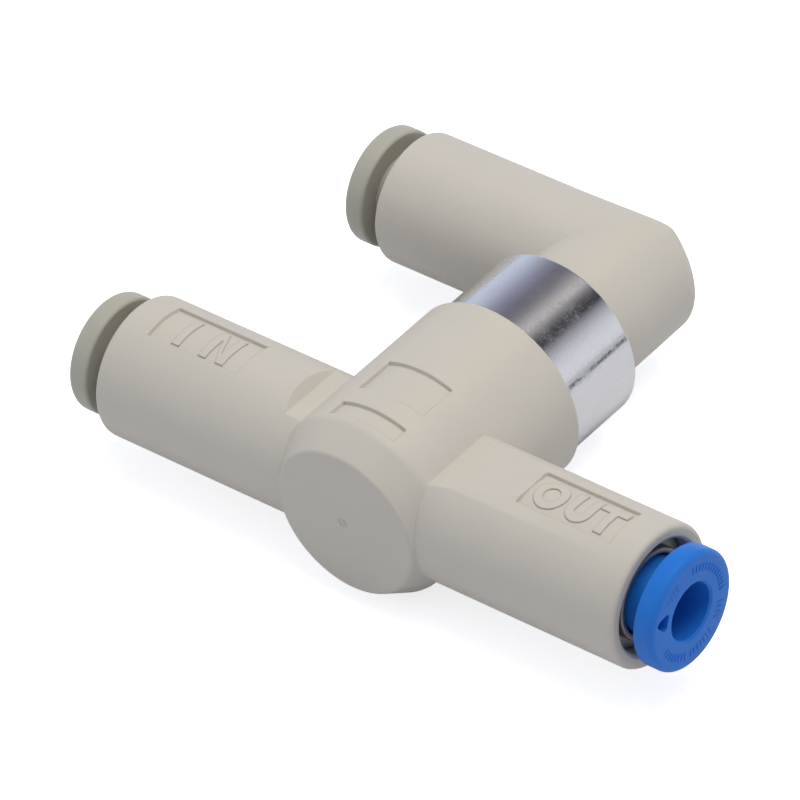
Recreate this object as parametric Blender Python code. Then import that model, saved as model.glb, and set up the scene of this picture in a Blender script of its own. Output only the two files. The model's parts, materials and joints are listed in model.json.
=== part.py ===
# Push-in shuttle valve for 4 mm tube: two inlets, one outlet, one of the inlets on a swivel elbow.
# Metres, +Z up. The origin is the middle of the barrel's flat front face. +Y runs back along
# the barrel to the elbow, and +X points to the outlet.

import bmesh
import bpy
from math import acos, atan2, cos, pi, radians, sin, tan
from mathutils import Vector

mm = 0.001

# Tube that the ports take, and the gaps between pieces
tube_radius = 2.0 * mm
tube_slip = 0.06 * mm           # round the tube in its socket
button_slip = 0.09 * mm         # round the tube in a release button
seat_gap = 0.1 * mm             # between pieces that touch in the real valve
slide_gap = 0.15 * mm           # round pieces that slide or swivel in others

# Valve body
barrel_radius = 7.06 * mm
face_radius = 5.7 * mm          # flat front face
cone_length = 2.25 * mm         # from the front face to the full barrel
cone_rounding = 1.2 * mm
edge_rounding = 0.3 * mm
port_line = 5.5 * mm            # from the front face to the line of the two straight ports
port_radius = 5.2 * mm
port_reach = 22.36 * mm         # from the barrel's axis to a port's mouth
mouth_rounding = 0.4 * mm
mouth_chamfer = 0.2 * mm

# Shuttle chamber in the valve body
chamber_radius = 3.6 * mm
orifice_radius = 1.5 * mm
front_pocket = 3.1 * mm         # depth of the front orifice below the port line
nozzle_height = 1.55 * mm       # front seat above the chamber's floor
nozzle_lip = 0.5 * mm           # width of a sealing lip
nozzle_flare = 0.2 * mm         # a nozzle's foot is this much wider than its lip
passage_web = 0.4 * mm          # from the port line to each D-shaped passage
passage_sill = 0.05 * mm        # the outlet passage opens this far above the chamber's floor
shuttle_thickness = 2.2 * mm
shuttle_play = 0.7 * mm         # free travel from the front stop to the rear one
chamber_room = 1.2 * mm         # from the rear seat's lip to its flange

# Shuttle
shuttle_scallops = 6
scallop_radius = 0.75 * mm
shuttle_edge = 0.25 * mm
shuttle_dish = 0.15 * mm

# Rear seat, its ring and the collar
seat_flange = 0.8 * mm
seat_hub_radius = 4.0 * mm
seat_bore_radius = 5.45 * mm    # the barrel's bore behind the chamber
seat_flare = 2.6 * mm           # radius of the seat's and the collar's way to the elbow
seat_ring_cord = 1.1 * mm
press_length = 3.0 * mm         # the collar sits this deep in the barrel
collar_radius = 6.53 * mm
collar_length = 6.85 * mm       # the part of the collar that shows
collar_web = 1.6 * mm           # collar wall in front of the elbow's socket
collar_edge = 0.2 * mm
press_groove_depth = 0.2 * mm
press_groove_length = 0.6 * mm

# Elbow
spigot_radius = 4.15 * mm
spigot_chamfer = 0.2 * mm
stub_radius = 5.13 * mm
elbow_rise = 6.6 * mm           # from the collar's end to the arm's axis
arm_radius = 4.88 * mm
arm_reach = 18.02 * mm          # from the barrel's axis to the elbow port's mouth
arm_start = 5.6 * mm            # the arm is round from this far out
heel_flat = 4.02 * mm           # sloping flat on the corner, from where the two axes cross
heel_slope = radians(71.5)      # the way the flat faces, from +X towards +Y
heel_rounding = 1.58 * mm
spigot_root = 1.0 * mm          # the spigot runs this far into the stub
elbow_ring_cord = 0.9 * mm
elbow_ring_inset = 1.65 * mm    # from the spigot's tip to the middle of its ring
clip_place = 2.65 * mm          # from the collar's end to the middle of the clip
clip_thickness = 0.7 * mm
clip_bite = 0.45 * mm           # how far the clip sits in the spigot, and in the collar
clip_opening = radians(50)

# Port cassette, by depth from the port's mouth
cassette_bore = 4.15 * mm
guide_recess = 0.5 * mm         # the guide ring starts this deep in the mouth
guide_lip_length = 0.55 * mm
guide_nose_radius = 3.65 * mm
guide_nose_length = 0.5 * mm
guide_bore = 3.4 * mm
guide_taper = 0.35 * mm         # the bore's radius grows by this at its inner end
guide_short = 0.3 * mm          # the guide ring ends this far before the collet
chuck_wall = 0.3 * mm
chuck_lip_length = 0.25 * mm
chuck_base = 2.0 * mm
chuck_fingers = 2.0 * mm
tooth_clearance = 0.15 * mm     # between the open teeth and the tube
chuck_slits = 8
slit_width = 0.35 * mm
slit_root = 0.3 * mm            # from the chuck's base to where its slits start
collet_lead = 0.8 * mm          # the collet starts this far along the chuck's fingers
collet_length = 2.1 * mm
collet_slits = 6
collet_band = 0.6 * mm          # length of the collet that isn't slit
collet_clearance = 0.2 * mm     # between the collet's bore and the tube
seal_length = 1.7 * mm
seal_pinch = 0.1 * mm           # the free lip is this much smaller than the tube
seal_wall = 0.5 * mm
seal_groove = 0.95 * mm         # depth of the groove between the two lips
socket_length = 2.7 * mm        # close bore that holds the tube's end
passage_radius = 1.75 * mm
plenum_length = 1.2 * mm        # past the tube's end

# Release button
flange_radius = 4.38 * mm
flange_thickness = 1.63 * mm
flange_rounding = 0.4 * mm
flange_stand = 1.48 * mm        # from the mouth to the flange's back when it is out
stem_radius = 2.85 * mm
stem_reach = 0.5 * mm           # the thick stem goes this far past the mouth when it is out
neck_radius = 2.6 * mm
rib_length = 0.45 * mm
nose_length = 0.7 * mm
nose_tip_wall = 0.21 * mm
button_chamfer = 0.15 * mm
button_travel = 1.0 * mm
out_button_sunk = 0.4 * mm      # the outlet's button sits this much further in
notch_depth = 0.6 * mm          # three-cornered recess in the button's face
notch_radius = 3.13 * mm        # its middle, from the button's axis
notch_angle = radians(159)
notch_reach = 0.4 * mm
notch_rounding = 0.27 * mm

# Shapes on the outside of the ports and the barrel
neck_height = 4.45 * mm         # flat on the inlet's neck, above the port line
neck_step_foot = 6.9 * mm       # from the barrel's axis
neck_step_head = 7.45 * mm
ramp_foot_height = 4.25 * mm    # sloping flat on the outlet's neck, at the barrel
ramp_foot = 5.8 * mm
ramp_head = 13.53 * mm
label_depth = 0.25 * mm
port_label_width = 3.5 * mm
port_label_start = 2.5 * mm     # from the mouth
inlet_label_length = 7.85 * mm
outlet_label_length = 7.7 * mm
barrel_label_width = 5.4 * mm
upper_label_start = 0.34 * mm   # behind the port line
upper_label_length = 3.25 * mm
lower_label_end = 1.35 * mm     # in front of the port line
lower_label_length = 1.45 * mm

# Materials: base colour, roughness, metallic
finishes = {
    "body_resin": ((0.60, 0.57, 0.51), 0.45, 0.0),
    "plated_metal": ((0.78, 0.78, 0.80), 0.12, 1.0),
    "seat_brass": ((0.72, 0.56, 0.28), 0.3, 1.0),
    "spring_steel": ((0.55, 0.55, 0.56), 0.3, 1.0),
    "black_rubber": ((0.03, 0.03, 0.03), 0.7, 0.0),
    "collet_acetal": ((0.75, 0.74, 0.70), 0.5, 0.0),
    "grey_button": ((0.55, 0.54, 0.49), 0.4, 0.0),
    "blue_button": ((0.05, 0.20, 0.62), 0.35, 0.0),
}

# Facets
body_sides = 40
port_sides = 36
button_sides = 28
inner_sides = 24
cord_sides = 8
scallop_sides = 12
heel_steps = 3                  # round each edge of the heel's flat
heel_flat_levels = 5            # across half of the flat
heel_end_levels = 3             # from the flat's end to the top
passage_steps = 8
label_steps = 6
rounding_steps = 3
fine_steps = 2                  # roundings of small pieces
sharp_angle = radians(35)
tool_overrun = 1.0 * mm         # a cutting tool runs this far past the face it cuts
tool_overlap = 0.1 * mm         # one tool reaches this far into another tool's cut
weld_distance = 0.001 * mm
flat_angle = radians(0.1)       # faces more bent than this are split
marker_size = 5 * mm            # empties, as drawn in the viewport

# Places along the barrel's axis, from the front face
chamber_floor = port_line + passage_web - passage_sill
front_seat = chamber_floor + nozzle_height
shuttle_start = front_seat + seat_gap
rear_lip = shuttle_start + shuttle_thickness + shuttle_play + seat_gap
seat_start = rear_lip + chamber_room
chamber_end = seat_start - seat_gap
seat_ring_place = seat_start + seat_flange + seat_gap + seat_ring_cord / 2
seat_end = seat_ring_place + seat_ring_cord / 2
collar_front = seat_end + seat_gap
barrel_length = collar_front + press_length
collar_start = barrel_length + seat_gap
collar_end = collar_start + collar_length
socket_floor = collar_front + collar_web
spigot_length = collar_end - socket_floor - 2 * seat_gap
elbow_ring_place = spigot_length - elbow_ring_inset

# Depths in a port
chuck_start = stem_reach + button_travel + seat_gap
finger_start = chuck_start + chuck_base
finger_end = finger_start + chuck_fingers
collet_start = finger_start + collet_lead
collet_end = collet_start + collet_length
guide_end = collet_end - guide_short
seal_start = collet_end + 2 * seat_gap
seal_end = seal_start + seal_length
cassette_end = seal_end + 2 * seat_gap
socket_end = cassette_end + socket_length
plenum_end = socket_end + plenum_length

# Radii in a port
chuck_radius = guide_bore - slide_gap
chuck_bore = chuck_radius - chuck_wall
tooth_radius = tube_radius + tooth_clearance
socket_radius = spigot_radius + slide_gap

# The heel's core, before its edges are rounded
heel_core_stub = stub_radius - heel_rounding
heel_core_arm = arm_radius - heel_rounding
heel_core_flat = heel_flat - heel_rounding

quarter_turn = pi / 2
half_turn = pi


def clear_scene():
    for thing in list(bpy.data.objects):
        bpy.data.objects.remove(thing, do_unlink=True)


def finish(name):
    colour, roughness, metallic = finishes[name]
    made = bpy.data.materials.new(name)
    made.use_nodes = True
    shader = made.node_tree.nodes["Principled BSDF"]
    shader.inputs["Base Color"].default_value = (*colour, 1.0)
    shader.inputs["Roughness"].default_value = roughness
    shader.inputs["Metallic"].default_value = metallic
    return made


def frame(name, location, turn=0.0, parent=None):
    empty = bpy.data.objects.new(name, None)
    bpy.context.scene.collection.objects.link(empty)
    empty.parent = parent
    empty.location = location
    empty.rotation_euler = (0, 0, turn)
    empty.empty_display_size = marker_size
    return empty


def place(name, mesh, look=None, parent=None, offset=0.0, turn=0.0, roll=0.0):
    # A mesh's own X axis is its turning axis. offset runs along the parent's X, turn is about Z.
    piece = bpy.data.objects.new(name, mesh)
    bpy.context.scene.collection.objects.link(piece)
    piece.parent = parent
    piece.location = (offset, 0, 0)
    piece.rotation_euler = (roll, 0, turn)
    if look is not None:
        if not mesh.materials:
            mesh.materials.append(None)
        piece.material_slots[0].link = "OBJECT"
        piece.material_slots[0].material = look
    return piece


def use_tool(piece, tool, operation):
    tool.hide_render = True
    tool.display_type = "WIRE"
    step = piece.modifiers.new(tool.name, "BOOLEAN")
    step.operation = operation
    step.solver = "EXACT"
    step.object = tool


def cut(piece, tool):
    use_tool(piece, tool, "DIFFERENCE")


def join(piece, tool):
    use_tool(piece, tool, "UNION")


def rounded(corners, steps):
    # A corner given as (x, r, radius) becomes an arc of that radius.
    points = []
    for i, corner in enumerate(corners):
        if len(corner) == 2:
            points.append(corner)
            continue
        here = Vector(corner[:2])
        radius = corner[2]
        before = (Vector(corners[i - 1][:2]) - here).normalized()
        after = (Vector(corners[(i + 1) % len(corners)][:2]) - here).normalized()
        half = acos(max(-1.0, min(1.0, before.dot(after)))) / 2
        middle = here + (before + after).normalized() * radius / sin(half)
        first = here + before * radius / tan(half) - middle
        last = here + after * radius / tan(half) - middle
        start = atan2(first.y, first.x)
        sweep = atan2(first.cross(last), first.dot(last))
        for k in range(steps + 1):
            angle = start + sweep * k / steps
            points.append((middle.x + radius * cos(angle), middle.y + radius * sin(angle)))
    return points


def closed_mesh(name, bm):
    bmesh.ops.remove_doubles(bm, verts=bm.verts, dist=weld_distance)
    bmesh.ops.recalc_face_normals(bm, faces=bm.faces)
    mesh = bpy.data.meshes.new(name)
    bm.to_mesh(mesh)
    bm.free()
    mesh.shade_smooth()
    mesh.set_sharp_from_angle(angle=sharp_angle)
    return mesh


def turned(name, corners, sides, steps=rounding_steps):
    # Outline in (x, r), turned about the X axis.
    outline = rounded(corners, steps)
    bm = bmesh.new()
    ring = [bm.verts.new((x, 0, r)) for x, r in outline]
    edges = []
    for i, point in enumerate(outline):
        if point[1] > 0 or outline[i - 1][1] > 0:
            edges.append(bm.edges.new((ring[i - 1], ring[i])))
    bmesh.ops.spin(bm, geom=ring + edges, axis=(1, 0, 0), cent=(0, 0, 0), steps=sides, angle=2 * pi)
    return closed_mesh(name, bm)


def extruded(name, outline, start, end):
    # Outline in (y, z), drawn out along X.
    bm = bmesh.new()
    face = bm.faces.new([bm.verts.new((start, y, z)) for y, z in outline])
    grown = bmesh.ops.extrude_face_region(bm, geom=[face])
    moved = [item for item in grown["geom"] if isinstance(item, bmesh.types.BMVert)]
    bmesh.ops.translate(bm, verts=moved, vec=(end - start, 0, 0))
    return closed_mesh(name, bm)


def arc(radius, start, end, steps):
    angles = [start + (end - start) * k / steps for k in range(steps + 1)]
    return [(radius * cos(angle), radius * sin(angle)) for angle in angles]


def sector(name, inner, outer, start, end, near, far, steps):
    outline = arc(outer, start, end, steps) + arc(inner, end, start, steps)
    return extruded(name, outline, near, far)


def ring_cord(name, inner, outer, cord):
    middle = (inner + outer) / 2
    section = [(x, middle + r) for x, r in arc(cord / 2, 0, 2 * pi, cord_sides)[:-1]]
    return turned(name, section, inner_sides)


def carved(name, mesh, tools):
    # The mesh that is left after the tools have cut it.
    blank = place(name, mesh)
    for tool in tools:
        cut(blank, tool)
    state = bpy.context.evaluated_depsgraph_get()
    result = bpy.data.meshes.new_from_object(blank.evaluated_get(state), depsgraph=state)
    for used in [blank] + tools:
        bpy.data.objects.remove(used, do_unlink=True)
    return result


def slit_tools(name, count, width, radius, near, far):
    # Each slab runs right across, so it makes two slits.
    half = width / 2
    outline = [(-half, -radius), (half, -radius), (half, radius), (-half, radius)]
    slab = extruded(name, outline, near, far)
    return [place(name, slab, roll=half_turn * k * 2 / count) for k in range(count // 2)]


def port_tool(name, mouth, depth):
    # Chamfered mouth, cassette bore, tube socket and the way on to a given depth.
    wide = cassette_bore + mouth_chamfer + tool_overrun
    corners = [
        (tool_overrun, 0),
        (tool_overrun, wide),
        (-mouth_chamfer, cassette_bore),
        (-cassette_end, cassette_bore),
        (-cassette_end, tube_radius + tube_slip),
        (-socket_end, tube_radius + tube_slip),
        (-socket_end, passage_radius),
        (-depth, passage_radius),
        (-depth, 0),
    ]
    return place(name, turned(name, corners, button_sides), parent=mouth)


def label_tool(name, floor_radius, top, width, near, far, parent=None):
    # A round floor under a turned surface, with walls that stand straight up from it.
    edge = quarter_turn - acos(width / 2 / floor_radius)
    floor = arc(floor_radius, quarter_turn - edge, quarter_turn + edge, label_steps)
    outline = floor + [(-width / 2, top), (width / 2, top)]
    turn = 0.0 if parent else quarter_turn
    return place(name, extruded(name, outline, near, far), parent=parent, turn=turn)


def port_label_tool(name, mouth, length):
    top = port_radius + tool_overrun
    floor = port_radius - label_depth
    far = -port_label_start
    return label_tool(name, floor, top, port_label_width, far - length, far, mouth)


def barrel_label_tool(name, start, length):
    top = barrel_radius + tool_overrun
    return label_tool(name, barrel_radius - label_depth, top, barrel_label_width, start, start + length)


def port_tube(name, mouth, outline):
    # One straight port with a flat cut on the top of its neck. The outline is (depth, z).
    corners = [(-port_reach, 0), (-port_reach, port_radius), (0, port_radius, mouth_rounding), (0, 0)]
    tube = place(name, turned(name, corners, port_sides), parent=mouth)
    flat = extruded(name + "_flat", outline, -port_radius - tool_overrun, port_radius + tool_overrun)
    cut(tube, place(name + "_flat", flat, parent=mouth, turn=quarter_turn))
    return tube


def inlet_neck():
    top = port_radius + tool_overrun
    slope = (neck_step_head - neck_step_foot) / (port_radius - neck_height)
    head = neck_step_head + slope * tool_overrun
    return [(port_reach - head, top), (port_reach - neck_step_foot, neck_height),
            (port_reach, neck_height), (port_reach, top)]


def outlet_neck():
    top = port_radius + tool_overrun
    slope = (port_radius - ramp_foot_height) / (ramp_head - ramp_foot)
    low = ramp_foot_height - slope * ramp_foot
    head = ramp_head + tool_overrun / slope
    return [(port_reach - head, top), (port_reach, low), (port_reach, top)]


def passage_tool(name, mouth, stop_short):
    # D-shaped way from the end of a port to the chamber, on the port frame's +Y side.
    edge = acos(passage_web / passage_radius)
    outline = arc(passage_radius, -edge, edge, passage_steps)
    mesh = extruded(name, outline, -port_reach + stop_short, -plenum_end + tool_overlap)
    return place(name, mesh, parent=mouth)


def chamber_tool():
    lip = orifice_radius + nozzle_lip
    corners = [
        (port_line - front_pocket, 0),
        (port_line - front_pocket, orifice_radius),
        (front_seat, orifice_radius),
        (front_seat, lip),
        (chamber_floor, lip + nozzle_flare),
        (chamber_floor, chamber_radius),
        (chamber_end, chamber_radius),
        (chamber_end, seat_bore_radius),
        (barrel_length - edge_rounding, seat_bore_radius),
        (barrel_length + tool_overrun, seat_bore_radius + edge_rounding + tool_overrun),
        (barrel_length + tool_overrun, 0),
    ]
    name = "chamber_tool"
    return place(name, turned(name, corners, button_sides), turn=quarter_turn)


def valve_body(look, inlet, outlet):
    corners = [
        (0, 0),
        (0, face_radius, edge_rounding),
        (cone_length, barrel_radius, cone_rounding),
        (barrel_length, barrel_radius, edge_rounding),
        (barrel_length, 0),
    ]
    body = place("valve_body", turned("valve_body", corners, body_sides), look, turn=quarter_turn)
    join(body, port_tube("inlet_tube", inlet, inlet_neck()))
    join(body, port_tube("outlet_tube", outlet, outlet_neck()))
    cut(body, chamber_tool())
    cut(body, port_tool("inlet_bore", inlet, plenum_end))
    cut(body, port_tool("outlet_bore", outlet, plenum_end))
    cut(body, passage_tool("inlet_passage", inlet, orifice_radius / 2))
    foot = orifice_radius + nozzle_lip + nozzle_flare
    cut(body, passage_tool("outlet_passage", outlet, (foot + chamber_radius) / 2))
    cut(body, port_label_tool("inlet_label", inlet, inlet_label_length))
    cut(body, port_label_tool("outlet_label", outlet, outlet_label_length))
    cut(body, barrel_label_tool("upper_label", port_line + upper_label_start, upper_label_length))
    lower_label_start = port_line - lower_label_end - lower_label_length
    cut(body, barrel_label_tool("lower_label", lower_label_start, lower_label_length))


def rear_seat(look):
    lip = orifice_radius + nozzle_lip
    flange = seat_bore_radius - seat_gap
    corners = [
        (rear_lip, orifice_radius),
        (rear_lip, lip),
        (seat_start, lip + nozzle_flare),
        (seat_start, flange),
        (seat_start + seat_flange, flange),
        (seat_start + seat_flange, seat_hub_radius),
        (seat_end, seat_hub_radius),
        (seat_end, seat_flare),
        (seat_start + seat_flange / 2, orifice_radius),
    ]
    place("rear_seat", turned("rear_seat", corners, inner_sides), look, turn=quarter_turn)


def seat_o_ring(look):
    mesh = ring_cord("seat_o_ring", seat_hub_radius, seat_bore_radius, seat_ring_cord)
    ring = place("seat_o_ring", mesh, look, turn=quarter_turn)
    ring.location.y = seat_ring_place


def shuttle(look):
    radius = chamber_radius - 2 * seat_gap
    half = shuttle_thickness / 2
    corners = [
        (-half + shuttle_dish, 0),
        (-half, orifice_radius / 2),
        (-half, radius, shuttle_edge),
        (half, radius, shuttle_edge),
        (half, orifice_radius / 2),
        (half - shuttle_dish, 0),
    ]
    piece = place("shuttle", turned("shuttle", corners, button_sides, fine_steps), look, turn=quarter_turn)
    piece.location.y = shuttle_start + half
    for k in range(shuttle_scallops):
        angle = 2 * pi * k / shuttle_scallops
        name = f"scallop_{k + 1}"
        outline = [(y + radius * cos(angle), z + radius * sin(angle))
                   for y, z in arc(scallop_radius, 0, 2 * pi, scallop_sides)[:-1]]
        tool = place(name, extruded(name, outline, -shuttle_thickness, shuttle_thickness), parent=piece)
        cut(piece, tool)


def collar(look):
    press = seat_bore_radius - seat_gap
    groove = collar_front + press_groove_length
    clip_near = collar_end - clip_place - clip_thickness / 2 - slide_gap
    clip_far = collar_end - clip_place + clip_thickness / 2 + slide_gap
    clip_groove = socket_radius + clip_bite
    corners = [
        (collar_front, seat_flare),
        (collar_front, press, collar_edge),
        (groove, press),
        (groove, press - press_groove_depth),
        (groove + press_groove_length, press - press_groove_depth),
        (groove + press_groove_length, press),
        (collar_start, press),
        (collar_start, collar_radius, collar_edge),
        (collar_end, collar_radius, collar_edge),
        (collar_end, socket_radius + collar_edge),
        (collar_end - collar_edge, socket_radius),
        (clip_far, socket_radius),
        (clip_far, clip_groove),
        (clip_near, clip_groove),
        (clip_near, socket_radius),
        (socket_floor, socket_radius),
        (socket_floor + collar_edge / 2 - collar_web, seat_flare),
    ]
    place("collar", turned("collar", corners, body_sides, 1), look, turn=quarter_turn)


def elbow_clip(look):
    inner = spigot_radius - clip_bite + seat_gap
    outer = socket_radius + clip_bite - seat_gap
    start = clip_opening / 2
    mesh = sector("elbow_clip", inner, outer, start, 2 * pi - start,
                  -clip_thickness / 2, clip_thickness / 2, inner_sides)
    clip = place("elbow_clip", mesh, look, turn=quarter_turn)
    clip.location.y = collar_end - clip_place


def heel_line(level, past_flat):
    # Round the corner at one level of its core, from the stub's side to the arm's. Levels are
    # angles about the axes. On the flat past_flat is 0 and the core has two corners. Beyond the
    # flat's ends it is 1, and at an end it runs from 0 to 1 round the core's corner there.
    side = Vector((cos(level), 0, sin(level)))
    slope = Vector((cos(heel_slope), sin(heel_slope), 0))
    x = heel_core_stub * cos(level)
    y = heel_core_arm * cos(level)
    z = heel_core_stub * sin(level)
    top = Vector((0, cos(level) / heel_core_arm, sin(level) / heel_core_stub)).normalized()
    middle = slope.slerp((side + top).normalized(), past_flat)
    first = last = Vector((x, y, z))
    if past_flat == 0:
        first = Vector((x, (heel_core_flat - slope.x * x) / slope.y, z))
        last = Vector(((heel_core_flat - slope.y * y) / slope.x, y, z))
    shares = [k / heel_steps for k in range(heel_steps + 1)]
    line = [first + heel_rounding * side.slerp(middle, share) for share in shares]
    return line + [last + heel_rounding * middle.slerp(top, share) for share in shares]


def elbow_line(level, past_flat, arm):
    # Along the outside of the elbow, from its foot to the mouth. Y starts at the arm's axis.
    across = cos(level)
    up = sin(level)
    foot = seat_gap - elbow_rise
    if across > 0:
        corner = heel_line(level, past_flat)
    else:
        inside = Vector((stub_radius * across, arm_radius * across, stub_radius * up))
        corner = [inside] * (2 * heel_steps + 2)
    stub = [Vector((0, foot, 0)), Vector((stub_radius * across, foot, stub_radius * up))]
    return stub + corner + [Vector((-x, r * across, r * up)) for x, r in arm]


def elbow_shell_mesh():
    # Stub, heel and arm in one skin. Its origin is where the two axes cross.
    flat_end = acos(heel_core_flat / (heel_core_stub * cos(heel_slope) + heel_core_arm * sin(heel_slope)))
    rest = quarter_turn - flat_end
    quarter = [(flat_end * k / heel_flat_levels, 0) for k in range(heel_flat_levels + 1)]
    quarter += [(flat_end, k / heel_steps) for k in range(1, heel_steps)]
    quarter += [(flat_end + rest * k / heel_end_levels, 1) for k in range(heel_end_levels + 1)]
    levels = quarter + [(half_turn - level, past) for level, past in reversed(quarter)]
    levels += [(half_turn + level, past) for level, past in quarter]
    levels += [(-level, past) for level, past in reversed(quarter)]
    end = [(arm_start, arm_radius), (arm_reach, arm_radius, mouth_rounding), (arm_reach, 0)]
    arm = rounded(end, rounding_steps)
    bm = bmesh.new()
    grid = [[bm.verts.new(point) for point in elbow_line(level, past, arm)] for level, past in levels]
    for i, line in enumerate(grid):
        before = grid[i - 1]
        for k in range(1, len(line)):
            bm.faces.new((before[k - 1], before[k], line[k], line[k - 1]))
    bmesh.ops.remove_doubles(bm, verts=bm.verts, dist=weld_distance)
    bmesh.ops.connect_verts_nonplanar(bm, angle_limit=flat_angle, faces=bm.faces)
    return closed_mesh("elbow_shell", bm)


def elbow_body(look, pivot, mouth):
    ring_half = elbow_ring_cord / 2 + slide_gap
    ring_floor = socket_radius - seat_gap - elbow_ring_cord - seat_gap / 2
    clip_half = clip_thickness / 2 + slide_gap
    clip_floor = spigot_radius - clip_bite
    corners = [
        (-spigot_length, 0),
        (-spigot_length, spigot_radius - spigot_chamfer),
        (-spigot_length + spigot_chamfer, spigot_radius),
        (-elbow_ring_place - ring_half, spigot_radius),
        (-elbow_ring_place - ring_half, ring_floor),
        (-elbow_ring_place + ring_half, ring_floor),
        (-elbow_ring_place + ring_half, spigot_radius),
        (-clip_place - clip_half, spigot_radius),
        (-clip_place - clip_half, clip_floor),
        (-clip_place + clip_half, clip_floor),
        (-clip_place + clip_half, spigot_radius),
        (seat_gap + spigot_root, spigot_radius),
        (seat_gap + spigot_root, 0),
    ]
    mesh = turned("elbow_body", corners, port_sides)
    body = place("elbow_body", mesh, look, parent=pivot, turn=quarter_turn)
    shell = place("elbow_shell", elbow_shell_mesh(), parent=pivot)
    shell.location.y = elbow_rise
    join(body, shell)
    cut(body, port_tool("elbow_bore", mouth, arm_reach))
    way = [
        (-spigot_length - tool_overrun, 0),
        (-spigot_length - tool_overrun, passage_radius),
        (elbow_rise, passage_radius),
        *[(elbow_rise + x, r) for x, r in arc(passage_radius, quarter_turn, 0, passage_steps // 2)[1:-1]],
        (elbow_rise + passage_radius, 0),
    ]
    mesh = turned("spigot_bore", way, button_sides)
    cut(body, place("spigot_bore", mesh, parent=pivot, turn=quarter_turn))


def elbow_o_ring(look, pivot):
    outer = socket_radius - seat_gap / 2
    inner = outer - elbow_ring_cord
    mesh = ring_cord("elbow_o_ring", inner, outer, elbow_ring_cord)
    ring = place("elbow_o_ring", mesh, look, parent=pivot, turn=quarter_turn)
    ring.location.y = -elbow_ring_place


def guide_mesh():
    outer = cassette_bore - seat_gap
    shoulder = guide_recess + guide_nose_length
    lip_end = guide_recess + guide_lip_length
    lip = stem_radius + slide_gap
    corners = [
        (-guide_recess, lip + seat_gap),
        (-guide_recess, guide_nose_radius),
        (-shoulder, guide_nose_radius),
        (-shoulder, outer),
        (-guide_end, outer),
        (-guide_end, guide_bore + guide_taper),
        (-finger_start, guide_bore),
        (-lip_end, guide_bore),
        (-lip_end, lip),
        (-guide_recess - seat_gap, lip),
    ]
    return turned("guide_ring", corners, inner_sides)


def chuck_mesh():
    lip = neck_radius + slide_gap
    corners = [
        (-chuck_start, lip),
        (-chuck_start, chuck_radius),
        (-finger_start, chuck_radius),
        (-finger_end, tooth_radius + chuck_wall),
        (-finger_end, tooth_radius),
        (-finger_start, chuck_bore),
        (-chuck_start - chuck_lip_length, chuck_bore),
        (-chuck_start - chuck_lip_length, lip),
    ]
    tools = slit_tools("chuck_slit", chuck_slits, slit_width, guide_bore,
                       -finger_end - tool_overrun, -finger_start - slit_root)
    return carved("chuck", turned("chuck_blank", corners, inner_sides), tools)


def collet_mesh():
    slope = (chuck_bore - tooth_radius) / chuck_fingers
    inner = chuck_radius - slope * collet_lead + slide_gap
    tip = tooth_radius + chuck_wall + slide_gap
    shoulder = finger_end + seat_gap
    grow = guide_taper / (guide_end - finger_start)
    outer = guide_bore - slide_gap
    bore = tube_radius + collet_clearance
    corners = [
        (-collet_start, inner),
        (-collet_start, outer + grow * collet_lead),
        (-guide_end, outer + guide_taper),
        (-collet_end, outer + guide_taper),
        (-collet_end, bore),
        (-shoulder, bore),
        (-shoulder, tip),
        (-finger_end, tip),
    ]
    tools = slit_tools("collet_slit", collet_slits, slit_width, cassette_bore,
                       -collet_end + collet_band, -collet_start + tool_overrun)
    return carved("collet", turned("collet_blank", corners, inner_sides), tools)


def seal_mesh():
    outer = cassette_bore - seat_gap
    lip = tube_radius - seal_pinch
    groove = seal_end - seal_groove
    middle = (outer + lip) / 2
    corners = [
        (-seal_start, lip + seal_wall),
        (-seal_start, outer),
        (-seal_end, outer),
        (-seal_end, outer - seal_wall),
        (-groove, middle + seal_wall / 3),
        (-groove, middle - seal_wall / 3),
        (-seal_end + seat_gap, lip + seal_wall),
        (-seal_end + 3 * seat_gap, lip),
    ]
    return turned("tube_seal", corners, inner_sides)


def notch_tool(face):
    # Three rounded corners round the notch's middle.
    across = notch_radius * cos(notch_angle)
    up = notch_radius * sin(notch_angle)
    outline = []
    for k in range(3):
        corner = notch_angle + 2 * pi * k / 3
        for y, z in arc(notch_rounding, corner - pi / 3, corner + pi / 3, rounding_steps):
            outline.append((across + y + notch_reach * cos(corner), up + z + notch_reach * sin(corner)))
    return place("notch", extruded("notch", outline, face - notch_depth, face + tool_overrun))


def button_mesh():
    # Its own origin is where the mouth's plane cuts the port's axis when the button is out.
    bore = tube_radius + button_slip
    back = flange_stand
    face = back + flange_thickness
    rib = chuck_bore - seat_gap
    rib_start = chuck_start + chuck_lip_length + seat_gap
    rib_end = rib_start + rib_length
    nose = finger_start - nose_length
    corners = [
        (face, bore + button_chamfer),
        (face, flange_radius, flange_rounding),
        (back, flange_radius, flange_rounding / 2),
        (back, stem_radius),
        (-stem_reach, stem_radius),
        (-stem_reach, neck_radius),
        (-rib_start, neck_radius),
        (-rib_start, rib),
        (-rib_end, neck_radius),
        (-nose, neck_radius),
        (-finger_start, bore + nose_tip_wall),
        (-finger_start, bore),
        (face - button_chamfer, bore),
    ]
    blank = turned("release_button", corners, button_sides, fine_steps)
    return carved("release_button", blank, [notch_tool(face)])


def cassette(port, mouth, pieces, button, button_look, sunk=0.0):
    for kind, (mesh, look) in pieces.items():
        place(f"{port}_{kind}", mesh, look, parent=mouth)
    place(f"{port}_release_button", button, button_look, parent=mouth, offset=-sunk)


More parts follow.
